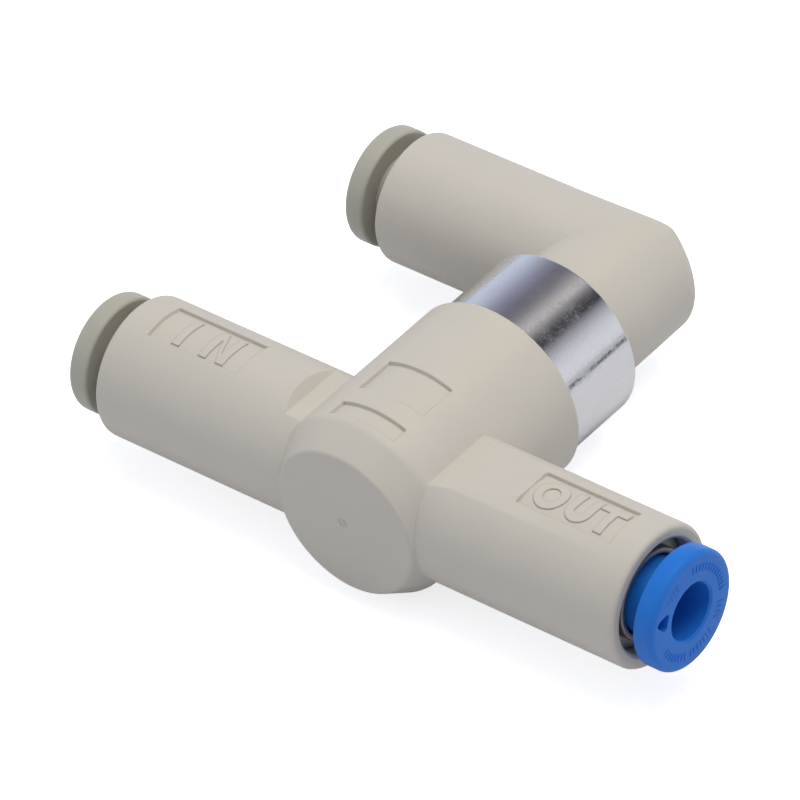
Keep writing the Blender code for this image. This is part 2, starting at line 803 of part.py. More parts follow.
def build():
    clear_scene()
    looks = {name: finish(name) for name in finishes}

    inlet = frame("inlet_mouth", (-port_reach, port_line, 0), half_turn)
    outlet = frame("outlet_mouth", (port_reach, port_line, 0))
    pivot = frame("elbow_swivel", (0, collar_end, 0))
    elbow_mouth = frame("elbow_mouth", (-arm_reach, elbow_rise, 0), half_turn, pivot)

    valve_body(looks["body_resin"], inlet, outlet)
    shuttle(looks["black_rubber"])
    rear_seat(looks["seat_brass"])
    seat_o_ring(looks["black_rubber"])
    collar(looks["plated_metal"])
    elbow_clip(looks["spring_steel"])
    elbow_body(looks["body_resin"], pivot, elbow_mouth)
    elbow_o_ring(looks["black_rubber"], pivot)

    pieces = {
        "guide_ring": (guide_mesh(), looks["plated_metal"]),
        "chuck": (chuck_mesh(), looks["spring_steel"]),
        "collet": (collet_mesh(), looks["collet_acetal"]),
        "tube_seal": (seal_mesh(), looks["black_rubber"]),
    }
    button = button_mesh()
    cassette("in", inlet, pieces, button, looks["grey_button"])
    cassette("out", outlet, pieces, button, looks["blue_button"], out_button_sunk)
    cassette("elbow", elbow_mouth, pieces, button, looks["grey_button"])


build()
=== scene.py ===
import json
from math import acos, atan2, cos, pi, radians, sin, sqrt, tan

import bmesh
import bpy
from mathutils import Matrix, Vector


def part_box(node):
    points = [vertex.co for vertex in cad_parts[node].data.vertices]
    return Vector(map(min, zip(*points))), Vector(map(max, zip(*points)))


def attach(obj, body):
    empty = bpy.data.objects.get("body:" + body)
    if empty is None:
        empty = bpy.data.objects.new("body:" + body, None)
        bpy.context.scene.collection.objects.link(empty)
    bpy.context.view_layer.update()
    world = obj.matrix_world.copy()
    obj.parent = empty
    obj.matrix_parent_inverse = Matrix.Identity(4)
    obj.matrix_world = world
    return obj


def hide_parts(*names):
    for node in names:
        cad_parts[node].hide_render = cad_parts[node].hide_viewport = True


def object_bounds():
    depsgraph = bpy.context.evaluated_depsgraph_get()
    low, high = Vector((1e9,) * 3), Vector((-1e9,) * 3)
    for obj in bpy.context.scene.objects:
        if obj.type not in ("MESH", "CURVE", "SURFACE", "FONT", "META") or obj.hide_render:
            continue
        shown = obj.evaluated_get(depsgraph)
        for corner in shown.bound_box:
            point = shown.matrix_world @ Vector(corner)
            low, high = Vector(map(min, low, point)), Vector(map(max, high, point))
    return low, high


mm = 0.001
quarterTurn = pi / 2

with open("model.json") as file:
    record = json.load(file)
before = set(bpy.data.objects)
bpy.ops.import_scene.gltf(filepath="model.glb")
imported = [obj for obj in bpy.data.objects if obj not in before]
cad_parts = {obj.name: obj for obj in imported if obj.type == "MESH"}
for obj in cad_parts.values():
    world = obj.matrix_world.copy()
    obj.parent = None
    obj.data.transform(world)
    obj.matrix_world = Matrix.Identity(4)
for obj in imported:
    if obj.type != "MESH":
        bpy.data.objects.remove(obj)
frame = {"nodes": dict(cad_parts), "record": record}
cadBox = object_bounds()
print("frame loaded")


# places that the frame gives

def low(node):
    return Vector(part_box(node)[0])


def high(node):
    return Vector(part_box(node)[1])


def middle(node):
    return (low(node) + high(node)) / 2


portLine = middle("in_guide_ring").y
armLine = middle("elbow_guide_ring").y
barrelRadius = high("valve_body").z
barrelLength = high("valve_body").y
portReach = high("valve_body").x
armReach = -low("elbow_body").x
collarFront = low("collar").y
collarEnd = high("collar").y
collarRadius = high("collar").z

alongBarrel = Matrix.Rotation(quarterTurn, 4, "Z")
inletMouth = Matrix.Translation((-portReach, portLine, 0)) @ Matrix.Rotation(pi, 4, "Z")
outletMouth = Matrix.Translation((portReach, portLine, 0))
elbowMouth = Matrix.Translation((-armReach, armLine, 0)) @ Matrix.Rotation(pi, 4, "Z")
elbowPivot = Matrix.Translation((0, collarEnd, 0)) @ alongBarrel


# camera

camera = {
    "azimuth": radians(42.926),
    "elevation": radians(39.374),
    "roll": radians(-6.6),
    "distance": 518.65 * mm,
    "aimRight": 0.318 * mm,
    "aimUp": 5.287 * mm,
    "sensor": 36.0,
    "lens": 346.5,
    "clip": (10 * mm, 10.0),
}


def makeCamera(c):
    back = Vector((sin(c["azimuth"]) * cos(c["elevation"]),
                   -cos(c["azimuth"]) * cos(c["elevation"]),
                   sin(c["elevation"])))
    level = Vector((cos(c["azimuth"]), sin(c["azimuth"]), 0))
    upright = back.cross(level)
    right = level * cos(c["roll"]) + upright * sin(c["roll"])
    up = upright * cos(c["roll"]) - level * sin(c["roll"])
    eye = Vector((0, portLine, 0)) + right * c["aimRight"] + up * c["aimUp"] + back * c["distance"]
    data = bpy.data.cameras.new("camera")
    data.sensor_width = c["sensor"]
    data.lens = c["lens"]
    data.clip_start, data.clip_end = c["clip"]
    made = bpy.data.objects.new("camera", data)
    bpy.context.scene.collection.objects.link(made)
    made.matrix_world = Matrix.Translation(eye) @ Matrix((right, up, back)).transposed().to_4x4()
    bpy.context.scene.camera = made


makeCamera(camera)
bpy.context.scene.view_settings.view_transform = "Standard"


# shader helpers

class Wire:
    # a socket that takes part in expressions

    def __init__(self, tree, socket):
        self.tree = tree
        self.socket = socket

    def step(self, operation, first, second):
        node = self.tree.nodes.new("ShaderNodeMath")
        node.operation = operation
        for place, value in enumerate((first, second)):
            if isinstance(value, Wire):
                self.tree.links.new(value.socket, node.inputs[place])
            else:
                node.inputs[place].default_value = value
        return Wire(self.tree, node.outputs[0])

    def __add__(self, other):
        return self.step("ADD", self, other)

    def __radd__(self, other):
        return self.step("ADD", other, self)

    def __sub__(self, other):
        return self.step("SUBTRACT", self, other)

    def __rsub__(self, other):
        return self.step("SUBTRACT", other, self)

    def __mul__(self, other):
        return self.step("MULTIPLY", self, other)

    def __rmul__(self, other):
        return self.step("MULTIPLY", other, self)

    def __truediv__(self, other):
        return self.step("DIVIDE", self, other)


class Shader:
    # a node tree with one way to add a node

    def __init__(self, tree):
        self.tree = tree

    def node(self, kind, settings=None, sockets=None, output=0):
        made = self.tree.nodes.new(kind)
        for name, value in (settings or {}).items():
            if name == "stops":
                setStops(made.color_ramp, value)
            else:
                setattr(made, name, value)
        for name, value in (sockets or {}).items():
            if isinstance(value, Wire):
                self.tree.links.new(value.socket, made.inputs[name])
            else:
                made.inputs[name].default_value = value
        return Wire(self.tree, made.outputs[output])

    def feed(self, node, name, wire):
        self.tree.links.new(wire.socket, node.inputs[name])

    def noise(self, where, scale, detail=2.0, rough=0.5):
        sockets = {"Vector": where, "Scale": scale, "Detail": detail, "Roughness": rough}
        return self.node("ShaderNodeTexNoise", None, sockets)

    def stretch(self, where, scale):
        return self.node("ShaderNodeMapping", None, {"Vector": where, "Scale": scale})

    def blend(self, factor, first, second):
        sockets = {0: factor, 6: first, 7: second}
        return self.node("ShaderNodeMix", {"data_type": "RGBA"}, sockets, 2)

    def objectPlace(self):
        return self.node("ShaderNodeTexCoord", None, None, "Object")


def setStops(ramp, stops):
    # stops are (place, colour)
    while len(ramp.elements) < len(stops):
        ramp.elements.new(1.0)
    for element, (place, colour) in zip(ramp.elements, stops):
        element.position = place
        element.color = (*colour, 1.0)


def newLook(name, roughness, metallic=0.0):
    material = bpy.data.materials.new(name)
    material.use_nodes = True
    shader = Shader(material.node_tree)
    surface = material.node_tree.nodes["Principled BSDF"]
    surface.inputs["Roughness"].default_value = roughness
    surface.inputs["Metallic"].default_value = metallic
    return material, shader, surface


def relief(shader, surface, height, edge, samples=6):
    # a fine height over edges that shade as if rounded
    soft = shader.node("ShaderNodeBevel", {"samples": samples}, {"Radius": edge})
    sockets = {"Height": height, "Distance": 1.0, "Normal": soft}
    shader.feed(surface, "Normal", shader.node("ShaderNodeBump", None, sockets))


# looks

resin = {
    "light": (0.636, 0.596, 0.534, 1),
    "dark": (0.606, 0.567, 0.507, 1),
    "roughness": 0.46,
    "edge": 0.16 * mm,
    "blotch": 260.0,
    "grain": 7000.0,
    "grainHeight": 0.004 * mm,
    "grainRoughness": 0.18,
}


def resinLook(r):
    material, shader, surface = newLook("moulded resin", r["roughness"])
    where = shader.objectPlace()
    blotch = shader.noise(where, r["blotch"], detail=3.0)
    grain = shader.noise(where, r["grain"])
    shader.feed(surface, "Base Color", shader.blend(blotch, r["dark"], r["light"]))
    shader.feed(surface, "Roughness", r["roughness"] + (grain - 0.5) * r["grainRoughness"])
    relief(shader, surface, grain * r["grainHeight"], r["edge"])
    return material


plating = {
    "colour": (0.80, 0.80, 0.82, 1),
    "dull": (0.72, 0.72, 0.74, 1),
    "roughness": 0.09,
    "cloud": 500.0,
    "speck": 9000.0,
    "speckShare": 0.8,
    "lines": (300.0, 9000.0, 300.0),
    "linesShare": 0.4,
    "linesRoughness": 0.04,
    "waveHeight": 0.0012 * mm,
    "scuffs": [(0.46, (0, 0, 0)), (0.70, (1, 1, 1))],
    "scuffScale": 4200.0,
    "scuffShares": (0.6, 0.4),
    "scuffRoughness": 0.30,
    "edge": 0.08 * mm,
}


def platedLook(p):
    material, shader, surface = newLook("nickel plating", p["roughness"], 1.0)
    where = shader.objectPlace()
    speck = shader.noise(where, p["speck"], detail=3.0, rough=0.6)
    lines = shader.noise(shader.stretch(where, p["lines"]), 1.0)
    cloud = shader.noise(where, p["cloud"], detail=3.0)
    fine = shader.noise(where, p["scuffScale"], detail=6.0, rough=0.7)
    fineShare, cloudShare = p["scuffShares"]
    mottle = fine * fineShare + cloud * cloudShare
    scuff = shader.node("ShaderNodeValToRGB", {"stops": p["scuffs"]}, {"Fac": mottle})
    shader.feed(surface, "Base Color", shader.blend(cloud, p["dull"], p["colour"]))
    scuffed = p["roughness"] + scuff * p["scuffRoughness"]
    shader.feed(surface, "Roughness", scuffed + (lines - 0.5) * p["linesRoughness"])
    height = (speck * p["speckShare"] + lines * p["linesShare"]) * p["waveHeight"]
    relief(shader, surface, height, p["edge"])
    return material


buttons = {
    "greyLight": (0.480, 0.462, 0.396, 1),
    "greyDark": (0.450, 0.432, 0.369, 1),
    "blueLight": (0.026, 0.202, 0.725, 1),
    "blueDark": (0.014, 0.174, 0.675, 1),
    "greySpecular": 0.4,
    "blueSpecular": 0.24,
    "roughness": 0.36,
    "edge": 0.05 * mm,
    "blotch": 500.0,
    "grain": 6000.0,
    "grainHeight": 0.003 * mm,
    "grainRoughness": 0.12,
}


def buttonLook(colour, b):
    material, shader, surface = newLook(colour + " acetal", b["roughness"])
    surface.inputs["Specular IOR Level"].default_value = b[colour + "Specular"]
    dark, light = b[colour + "Dark"], b[colour + "Light"]
    where = shader.objectPlace()
    blotch = shader.noise(where, b["blotch"], detail=3.0)
    grain = shader.noise(where, b["grain"])
    shader.feed(surface, "Base Color", shader.blend(blotch, dark, light))
    shader.feed(surface, "Roughness", b["roughness"] + (grain - 0.5) * b["grainRoughness"])
    relief(shader, surface, grain * b["grainHeight"], b["edge"])
    return material


plainUnevenness = 0.15


def plainLook(name, dark, light, roughness, metallic, scale):
    # two close colours, a little uneven in its gloss
    material, shader, surface = newLook(name, roughness, metallic)
    cloud = shader.noise(shader.objectPlace(), scale, detail=3.0)
    shader.feed(surface, "Base Color", shader.blend(cloud, (*dark, 1), (*light, 1)))
    shader.feed(surface, "Roughness", roughness + (cloud - 0.5) * plainUnevenness)
    return material


# name, dark and light colour, roughness, metallic, scale of the clouds
plainLooks = {
    "seat_brass": ("brass", (0.66, 0.50, 0.24), (0.74, 0.58, 0.30), 0.28, 1.0, 900.0),
    "spring_steel": ("stainless strip", (0.50, 0.50, 0.52), (0.60, 0.60, 0.61), 0.30, 1.0, 1500.0),
    "black_rubber": ("black rubber", (0.018, 0.018, 0.019), (0.030, 0.030, 0.030), 0.60, 0.0, 1200.0),
    "collet_acetal": ("natural acetal", (0.70, 0.69, 0.64), (0.77, 0.76, 0.71), 0.45, 0.0, 600.0),
}
# the guide rings' metal is dull, and its colour is also darkened as painted shade of the port mouths
# they sit in
guideRingShadedLook = ("dull strip with painted shade", (0.32, 0.29, 0.27), (0.46, 0.43, 0.40), 0.5, 1.0, 2500.0)

looks = {
    "body_resin": resinLook(resin),
    "plated_metal": platedLook(plating),
    "grey_button": buttonLook("grey", buttons),
    "blue_button": buttonLook("blue", buttons),
    **{slot: plainLook(*values) for slot, values in plainLooks.items()},
}
dullMetalWithPaintedShade = plainLook(*guideRingShadedLook)
print("looks made")


# shape helpers

weldDistance = 0.001 * mm
sharpAngle = radians(30)


def rounded(corners, steps):
    # a corner given as (x, r, radius) becomes an arc
    points = []
    for i, corner in enumerate(corners):
        if len(corner) == 2:
            points.append(corner)
            continue
        here = Vector(corner[:2])
        radius = corner[2]
        before = (Vector(corners[i - 1][:2]) - here).normalized()
        after = (Vector(corners[(i + 1) % len(corners)][:2]) - here).normalized()
        half = acos(max(-1.0, min(1.0, before.dot(after)))) / 2
        centre = here + (before + after).normalized() * radius / sin(half)
        first = here + before * radius / tan(half) - centre
        last = here + after * radius / tan(half) - centre
        start = atan2(first.y, first.x)
        sweep = atan2(first.cross(last), first.dot(last))
        for k in range(steps + 1):
            angle = start + sweep * k / steps
            points.append((centre.x + radius * cos(angle), centre.y + radius * sin(angle)))
    return points


def arc(radius, start, end, steps, centre=(0, 0)):
    angles = [start + (end - start) * k / steps for k in range(steps + 1)]
    return [(centre[0] + radius * cos(a), centre[1] + radius * sin(a)) for a in angles]


def closedObject(name, bm, place=None):
    bmesh.ops.remove_doubles(bm, verts=bm.verts, dist=weldDistance)
    bmesh.ops.recalc_face_normals(bm, faces=bm.faces)
    mesh = bpy.data.meshes.new(name)
    bm.to_mesh(mesh)
    bm.free()
    if place is not None:
        mesh.transform(place)
    made = bpy.data.objects.new(name, mesh)
    bpy.context.scene.collection.objects.link(made)
    return made


def lathe(name, corners, sides, place=None, steps=6):
    # an outline in (x, r) turned about X
    outline = rounded(corners, steps)
    bm = bmesh.new()
    ring = [bm.verts.new((x, 0, r)) for x, r in outline]
    edges = []
    for i, point in enumerate(outline):
        if point[1] > 0 or outline[i - 1][1] > 0:
            edges.append(bm.edges.new((ring[i - 1], ring[i])))
    bmesh.ops.spin(bm, geom=ring + edges, axis=(1, 0, 0), cent=(0, 0, 0), steps=sides, angle=2 * pi)
    return closedObject(name, bm, place)


def drawnOut(name, outline, start, end, place=None):
    # an outline in (y, z) drawn out along X
    bm = bmesh.new()
    face = bm.faces.new([bm.verts.new((start, y, z)) for y, z in outline])
    grown = bmesh.ops.extrude_face_region(bm, geom=[face])
    moved = [item for item in grown["geom"] if isinstance(item, bmesh.types.BMVert)]
    bmesh.ops.translate(bm, verts=moved, vec=(end - start, 0, 0))
    return closedObject(name, bm, place)


def uprightPrism(name, outline, bottom, top, hole=None):
    # an outline in (x, y) raised along Z, with a second loop of as many points for a hole
    bm = bmesh.new()
    outer = [bm.verts.new((x, y, bottom)) for x, y in outline]
    if hole:
        inner = [bm.verts.new((x, y, bottom)) for x, y in hole]
        count = len(outer)
        faces = [bm.faces.new((outer[i - 1], outer[i], inner[i], inner[i - 1]))
                 for i in range(count)]
    else:
        faces = [bm.faces.new(outer)]
    grown = bmesh.ops.extrude_face_region(bm, geom=faces)
    moved = [item for item in grown["geom"] if isinstance(item, bmesh.types.BMVert)]
    bmesh.ops.translate(bm, verts=moved, vec=(0, 0, top - bottom))
    return closedObject(name, bm)


def settle(piece):
    # the piece keeps what its modifiers give
    state = bpy.context.evaluated_depsgraph_get()
    made = bpy.data.meshes.new_from_object(piece.evaluated_get(state), depsgraph=state)
    made.name = piece.name
    piece.modifiers.clear()
    piece.data = made


def carve(piece, steps):
    # steps are (operation, tool) in order, and the tools are used up
    for operation, tool in steps:
        step = piece.modifiers.new(tool.name, "BOOLEAN")
        step.operation = operation
        step.solver = "EXACT"
        step.object = tool
    settle(piece)
    for operation, tool in steps:
        bpy.data.objects.remove(tool, do_unlink=True)
    return piece


def dress(piece, slot, body, *nodes):
    # smooth shading, the look, and what the piece stands for
    piece.data.shade_smooth()
    piece.data.set_sharp_from_angle(angle=sharpAngle)
    evened = piece.modifiers.new("evened", "WEIGHTED_NORMAL")
    evened.keep_sharp = True
    settle(piece)
    piece.data.materials.clear()
    piece.data.materials.append(looks[slot])
    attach(piece, body)
    if nodes:
        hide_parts(*nodes)
    return piece


# letters of the port words, in (x, y) with x along the word, and each word's foot and height

letters = {
    "stroke": 0.66 * mm,
    "slantShare": 1.15,
    "relief": 0.09 * mm,
    "steps": 24,
    "inlet": (-1.38 * mm, 2.79 * mm),
    "outlet": (-1.34 * mm, 2.63 * mm),
}


def letterO(width, height, stroke, steps):
    def loop(inset):
        angles = [2 * pi * k / steps for k in range(steps)]
        across = width / 2 - inset
        tall = height / 2 - inset
        return [(width / 2 + across * cos(a), height / 2 + tall * sin(a)) for a in angles]
    return loop(0), loop(stroke)


def letterU(width, height, stroke, steps):
    outer = width / 2
    inner = outer - stroke
    turn = steps // 2
    outside = arc(outer, pi, 2 * pi, turn, (outer, outer))
    inside = arc(inner, 2 * pi, pi, turn, (outer, outer))
    right = [(width, height), (width - stroke, height)]
    return [(0, height), *outside, *right, *inside, (stroke, height)], None


def letterT(width, height, stroke, steps):
    left = (width - stroke) / 2
    under = height - stroke
    return [(0, height), (0, under), (left, under), (left, 0), (left + stroke, 0),
            (left + stroke, under), (width, under), (width, height)], None


def letterI(width, height, stroke, steps):
    return [(0, 0), (stroke, 0), (stroke, height), (0, height)], None


def letterN(width, height, stroke, steps):
    slant = stroke * letters["slantShare"]
    return [(0, 0), (stroke, 0), (stroke, height - slant), (width - stroke, 0), (width, 0),
            (width, height), (width - stroke, height), (width - stroke, slant), (stroke, height),
            (0, height)], None


# each letter is (shape, its left edge on the X axis, width)
portWords = {
    "inlet": [(letterI, -18.0 * mm, 0.6 * mm), (letterN, -15.63 * mm, 2.18 * mm)],
    "outlet": [
        (letterO, 12.68 * mm, 2.48 * mm),
        (letterU, 15.43 * mm, 2.01 * mm),
        (letterT, 17.48 * mm, 2.2 * mm),
    ],
}


def wordPrisms(word, base, sides):
    # letters that stand out of a round floor of this radius
    made = []
    crown = base + letters["relief"]
    foot, height = letters[word]
    bottom = portLine + foot
    for shape, left, width in portWords[word]:
        outline, hole = shape(width, height, letters["stroke"], letters["steps"])
        outline = [(left + x, bottom + y) for x, y in outline]
        hole = hole and [(left + x, bottom + y) for x, y in hole]
        prism = uprightPrism(f"{word}_{len(made) + 1}", outline, 0, 2 * crown, hole)
        rod = [(-portReach, 0), (-portReach, crown), (portReach, crown), (portReach, 0)]
        bar = lathe("crown", rod, sides, Matrix.Translation((0, portLine, 0)))
        made.append(carve(prism, [("INTERSECT", bar)]))
    return made


# housing: the barrel and its two straight ports

housing = {
    "sides": 192,
    "portSides": 144,
    "faceRadius": 5.7 * mm,
    "coneLength": 2.25 * mm,
    "coneRounding": 1.2 * mm,
    "faceRounding": 0.35 * mm,
    "faceSteps": 8,
    "endRounding": 0.3 * mm,
    "portRadius": 5.2 * mm,
    "mouthRounding": 0.4 * mm,
    "boreRadius": 4.15 * mm,
    "boreChamfer": 0.2 * mm,
    "sealGap": 0.2 * mm,
    "socketLength": 2.7 * mm,
    "plenumLength": 1.2 * mm,
    "socketRadius": 2.06 * mm,
    "passageRadius": 1.75 * mm,
    "passageWeb": 0.4 * mm,
    "passageSteps": 16,
    "backBoreRadius": 5.45 * mm,
    "chamberRadius": 3.6 * mm,
    "orificeRadius": 1.5 * mm,
    "orificePocket": 3.1 * mm,
    "nozzleHeight": 1.55 * mm,
    "nozzleLip": 0.5 * mm,
    "nozzleFlare": 0.2 * mm,
    "seatGap": 0.1 * mm,
    "seatFlange": 0.8 * mm,
    "neckHeight": 4.45 * mm,
    "neckStep": (6.9 * mm, 7.45 * mm),
    "rampFoot": (5.8 * mm, 4.25 * mm),
    "rampHead": 13.53 * mm,
    "labelDepth": 0.24 * mm,
    "labelDraft": 0.07 * mm,
    "labelSteps": 24,
    "inletLabel": (-19.86 * mm, -12.01 * mm),
    "inletLabelAcross": (-1.65 * mm, 1.85 * mm),
    "outletLabel": (12.21 * mm, 20.0 * mm),
    "outletLabelAcross": (-1.75 * mm, 1.75 * mm),
    "barrelLabelAcross": (-2.79 * mm, 2.62 * mm),
    "upperLabel": (0.34 * mm, 3.58 * mm),
    "lowerLabel": (-2.79 * mm, -1.35 * mm),
    "gateX": -0.11 * mm,
    "gateRadius": 0.42 * mm,
    "gateDepth": 0.09 * mm,
    "gateFloorShare": 0.7,
    "nibFootShare": 0.35,
    "nibTopShare": 0.25,
    "nibDepthShare": 0.4,
    "gateSides": 32,
    "overrun": 1.0 * mm,
}


def portTube(name, mouth, neck, h):
    radius = h["portRadius"]
    corners = [(-portReach, 0), (-portReach, radius), (0, radius, h["mouthRounding"]), (0, 0)]
    tube = lathe(name, corners, h["portSides"], mouth)
    reach = radius + h["overrun"]
    # the neck's outline is (distance from the barrel's axis, height)
    outline = [(-distance, height) for distance, height in neck]
    place = mouth @ Matrix.Translation((-portReach, 0, 0)) @ alongBarrel
    flat = drawnOut(name + "Flat", outline, -reach, reach, place)
    return carve(tube, [("DIFFERENCE", flat)])


def inletNeck(h):
    foot, head = h["neckStep"]
    top = h["portRadius"] + h["overrun"]
    slope = (head - foot) / (h["portRadius"] - h["neckHeight"])
    height = h["neckHeight"]
    return [(0, height), (foot, height), (head + slope * h["overrun"], top), (0, top)]


def outletNeck(h):
    foot, height = h["rampFoot"]
    top = h["portRadius"] + h["overrun"]
    slope = (h["portRadius"] - height) / (h["rampHead"] - foot)
    return [(0, height - slope * foot), (h["rampHead"] + h["overrun"] / slope, top), (0, top)]


sealDepth = portReach - low("out_tube_seal").x


def portBore(name, mouth, way, h):
    # mouth, cassette bore, tube socket, and a way on that is this long past the socket
    wide = h["boreRadius"] + h["boreChamfer"]
    cassetteEnd = sealDepth + h["sealGap"]
    socketEnd = cassetteEnd + h["socketLength"]
    corners = [
        (h["overrun"], 0),
        (h["overrun"], wide),
        (0, wide),
        (-h["boreChamfer"], h["boreRadius"]),
        (-cassetteEnd, h["boreRadius"]),
        (-cassetteEnd, h["socketRadius"]),
        (-socketEnd, h["socketRadius"]),
        (-socketEnd, h["passageRadius"]),
        (-socketEnd - way, h["passageRadius"]),
        (-socketEnd - way, 0),
    ]
    return lathe(name, corners, h["portSides"], mouth)


def passage(name, mouth, stopShort, h):
    # a D-shaped way from the plenum to the chamber
    edge = acos(h["passageWeb"] / h["passageRadius"])
    start = sealDepth + h["sealGap"] + h["socketLength"] + h["plenumLength"] - h["seatGap"]
    outline = arc(h["passageRadius"], -edge, edge, h["passageSteps"])
    return drawnOut(name, outline, -portReach + stopShort, -start, mouth)


def chamber(h):
    # orifice, nozzle, shuttle room and the bore that takes the seat and the collar
    lip = h["orificeRadius"] + h["nozzleLip"]
    nozzle = low("shuttle").y - h["seatGap"]
    room = low("seat_o_ring").y - h["seatFlange"] - 2 * h["seatGap"]
    corners = [
        (portLine - h["orificePocket"], 0),
        (portLine - h["orificePocket"], h["orificeRadius"]),
        (nozzle, h["orificeRadius"]),
        (nozzle, lip),
        (nozzle - h["nozzleHeight"], lip + h["nozzleFlare"]),
        (nozzle - h["nozzleHeight"], h["chamberRadius"]),
        (room, h["chamberRadius"]),
        (room, h["backBoreRadius"]),
        (barrelLength - h["endRounding"], h["backBoreRadius"]),
        (barrelLength + h["overrun"], h["backBoreRadius"] + h["endRounding"] + h["overrun"]),
        (barrelLength + h["overrun"], 0),
    ]
    return lathe("chamber", corners, h["portSides"], alongBarrel)


def labelRecess(name, radius, along, across, place, h):
    # a round floor below a turned surface, with sloping sides
    floor = radius - h["labelDepth"]
    top = radius + h["overrun"]
    slope = h["labelDraft"] / h["labelDepth"]
    bm = bmesh.new()
    rows = []
    for k in range(h["labelSteps"] + 1):
        row = []
        for reach, way in ((floor, 1), (top, -1)):
            spread = (reach - radius) * slope
            y = across[0] - spread + (across[1] - across[0] + 2 * spread) * k / h["labelSteps"]
            z = sqrt(reach * reach - y * y)
            ends = (along[0] - spread, along[1] + spread)
            row += [bm.verts.new((x, y, z)) for x in ends[::way]]
        rows.append(row)
    for before, after in zip(rows, rows[1:]):
        for i in range(4):
            bm.faces.new((before[i - 1], before[i], after[i], after[i - 1]))
    bm.faces.new(rows[0])
    bm.faces.new(rows[-1])
    return closedObject(name, bm, place)


def portLabel(port, h):
    # its letters are left standing
    name = port + "Label"
    place = Matrix.Translation((0, portLine, 0))
    recess = labelRecess(name, h["portRadius"], h[name], h[name + "Across"], place, h)
    letterTools = wordPrisms(port, h["portRadius"] - h["labelDepth"], h["portSides"])
    return carve(recess, [("DIFFERENCE", tool) for tool in letterTools])


def barrelLabel(name, h):
    place = Matrix.Translation((0, portLine, 0)) @ alongBarrel
    return labelRecess(name, barrelRadius, h[name], h["barrelLabelAcross"], place, h)


def gateMark(h):
    # the shallow pit that the mould's gate leaves, with a broken nib in it
    r = h["gateRadius"]
    d = h["gateDepth"]
    corners = [
        (-h["overrun"], 0),
        (-h["overrun"], r),
        (0, r),
        (d, r * h["gateFloorShare"]),
        (d, r * h["nibFootShare"]),
        (d * h["nibDepthShare"], r * h["nibTopShare"]),
        (d * h["nibDepthShare"], 0),
    ]
    place = Matrix.Translation((h["gateX"], 0, 0)) @ alongBarrel
    return lathe("gateMark", corners, h["gateSides"], place)


def makeHousing(h):
    corners = [
        (0, 0),
        (0, h["faceRadius"], h["faceRounding"]),
        (h["coneLength"], barrelRadius, h["coneRounding"]),
        (barrelLength, barrelRadius, h["endRounding"]),
        (barrelLength, 0),
    ]
    body = lathe("housingShell", corners, h["sides"], alongBarrel, h["faceSteps"])
    pastOrifice = h["orificeRadius"] / 2
    pastNozzle = (h["orificeRadius"] + h["chamberRadius"]) / 2
    return carve(body, [
        ("UNION", portTube("inletTube", inletMouth, inletNeck(h), h)),
        ("UNION", portTube("outletTube", outletMouth, outletNeck(h), h)),
        ("DIFFERENCE", chamber(h)),
        ("DIFFERENCE", portBore("inletBore", inletMouth, h["plenumLength"], h)),
        ("DIFFERENCE", portBore("outletBore", outletMouth, h["plenumLength"], h)),
        ("DIFFERENCE", passage("inletPassage", inletMouth, pastOrifice, h)),
        ("DIFFERENCE", passage("outletPassage", outletMouth, pastNozzle, h)),
        ("DIFFERENCE", portLabel("inlet", h)),
        ("DIFFERENCE", portLabel("outlet", h)),
        ("DIFFERENCE", barrelLabel("upperLabel", h)),
        ("DIFFERENCE", barrelLabel("lowerLabel", h)),
        ("DIFFERENCE", gateMark(h)),
    ])


dress(makeHousing(housing), "body_resin", "housing", "valve_body")
print("housing made")


# collar

collar = {
    "sides": 192,
    "press": 5.35 * mm,
    "socket": 4.3 * mm,
    "throat": 2.6 * mm,
    "wall": 1.6 * mm,
    "gap": 0.1 * mm,
    "edge": 0.22 * mm,
    "edgeSteps": 4,
    "clipGroove": 4.75 * mm,
    "clipSlack": 0.15 * mm,
}


def makeCollar(c):
    start = barrelLength + c["gap"]
    floor = collarFront + c["wall"]
    clipNear = low("elbow_clip").y - c["clipSlack"]
    clipFar = high("elbow_clip").y + c["clipSlack"]
    corners = [
        (collarFront, c["throat"]),
        (collarFront, c["press"], c["edge"]),
        (start, c["press"]),
        (start, collarRadius, c["edge"]),
        (collarEnd, collarRadius, c["edge"]),
        (collarEnd, c["socket"] + c["edge"]),
        (collarEnd - c["edge"], c["socket"]),
        (clipFar, c["socket"]),
        (clipFar, c["clipGroove"]),
        (clipNear, c["clipGroove"]),
        (clipNear, c["socket"]),
        (floor, c["socket"]),
        (collarFront + c["gap"], c["throat"]),
    ]
    return lathe("collarShell", corners, c["sides"], alongBarrel, c["edgeSteps"])


dress(makeCollar(collar), "plated_metal", "housing", "collar")
print("collar made")


# elbow

elbow = {
    "sides": 144,
    "stub": 5.13 * mm,
    "arm": 4.88 * mm,
    "armStart": 5.6 * mm,
    "heelFlat": 4.02 * mm,
    "heelSlope": radians(71.5),
    "heelRounding": 1.58 * mm,
    "heelSteps": 8,
    "flatLevels": 20,
    "endLevels": 12,
    "spigot": 4.15 * mm,
    "spigotRoot": 1.0 * mm,
    "bore": 1.75 * mm,
    "boreSides": 48,
    "boreSteps": 8,
    "chamfer": 0.2 * mm,
    "ringGroove": 3.25 * mm,
    "clipGroove": 3.7 * mm,
    "grooveSlack": 0.15 * mm,
    "gap": 0.1 * mm,
    "mouthRounding": 0.4 * mm,
    "mouthSteps": 6,
}


